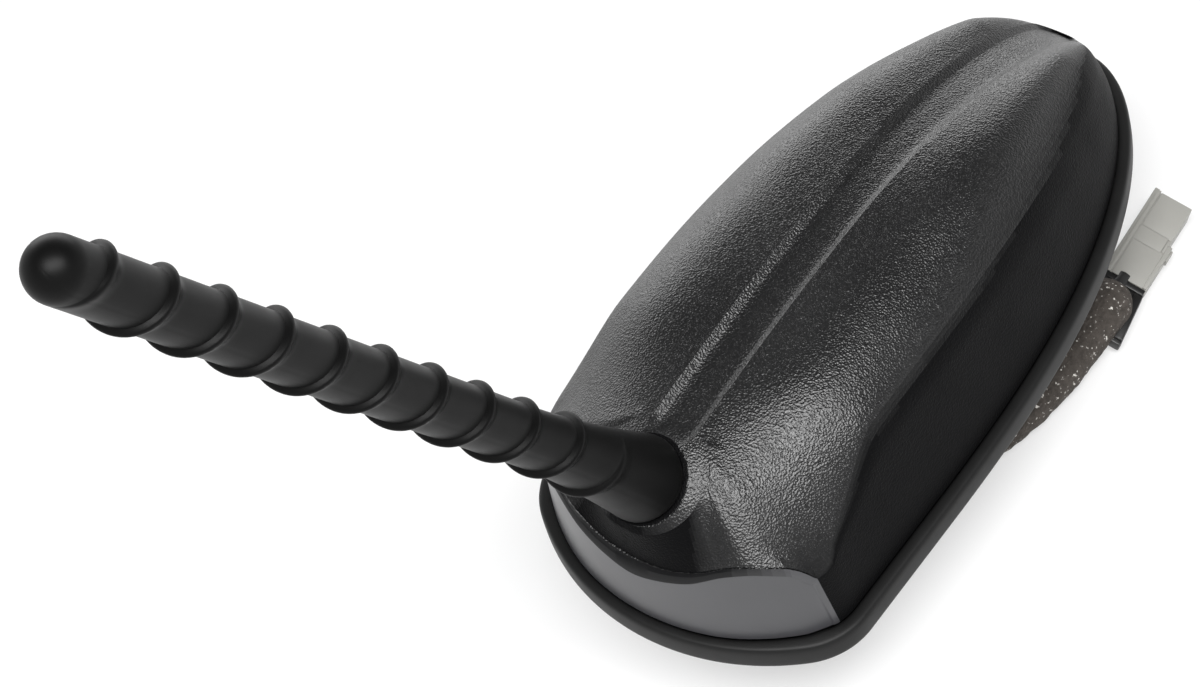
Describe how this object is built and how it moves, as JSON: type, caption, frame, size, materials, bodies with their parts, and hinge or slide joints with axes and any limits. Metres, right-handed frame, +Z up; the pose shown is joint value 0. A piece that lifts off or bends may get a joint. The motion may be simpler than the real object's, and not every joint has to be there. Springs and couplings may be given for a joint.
{
  "type": "car antenna",
  "caption": "Roof antenna: low teardrop pod with a grooved crest, gasketed die-cast base, raked screw-in mast with a spiral rib, and a short foam-wrapped pigtail.",
  "frame": {"origin": "where the axis of the roof stud meets the roof, in the plane of the gasket's underside", "axes": "+X forward along the roof toward the pod's low nose, +Y to the car's left, +Z up, away from the roof; the mast leans back toward -X"},
  "size_m": [0.2469, 0.077, 0.2404],
  "materials": {
    "cover_abs": "black ABS, fine-grained moulding",
    "gasket_epdm": "black EPDM, moulded",
    "base_zinc": "die-cast, blasted",
    "plated_steel": "zinc-plated steel",
    "mast_tpe": "black soft-touch elastomer, satin",
    "seal_rubber": "black rubber",
    "brass": "turned brass",
    "spring_bronze": "phosphor bronze strip",
    "board_laminate": "green solder-masked laminate",
    "tinned_steel": "tinned sheet steel",
    "patch_ceramic": "fired ceramic with silver face",
    "copper_wire": "enamelled copper wire on ferrite",
    "chip_epoxy": "moulded epoxy",
    "cable_jacket": "black PVC jacket",
    "foam_wrap": "open-cell foam, dark grey-brown",
    "connector_pbt": "light grey PBT, moulded",
    "clip_plastic": "black polyamide, moulded"
  },
  "bodies": {
    "pod": {"cover": "cover_abs", "gasket": "gasket_epdm", "base_plate": "base_zinc", "roof_stud": "plated_steel", "claw_washer": "plated_steel", "roof_nut": "plated_steel", "mast_socket": "brass", "socket_nut": "plated_steel", "contact_spring": "spring_bronze", "circuit_board": "board_laminate", "shield_can": "tinned_steel", "patch_antenna": "patch_ceramic", "choke_coil": "copper_wire", "board_chips": "chip_epoxy", "board_connector": "brass", "board_screws": "plated_steel", "cover_screws": "plated_steel", "cable_grommet": "seal_rubber", "antenna_cable": "cable_jacket", "foam_sleeve": "foam_wrap", "connector_housing": "connector_pbt", "connector_clip": "clip_plastic", "connector_contacts": "brass"},
    "seal": {"mast_seal": "seal_rubber"},
    "mast": {"mast": "mast_tpe", "mast_stud": "brass"}
  },
  "joints": [
    {"name": "mast_lift", "type": "slide", "parent": "pod", "child": "seal", "axis": [-0.4726, 0, 0.8813], "range_m": [0, 0.0112]},
    {"name": "mast_turn", "type": "hinge", "parent": "seal", "child": "mast", "pos_m": [-0.067, 0, 0.0386], "axis": [-0.4726, 0, 0.8813], "range_deg": [0, 5041]}
  ],
  "couplings": [
    {"joint": "mast_turn", "follows": "mast_lift", "rad_per_m": 7854}
  ]
}
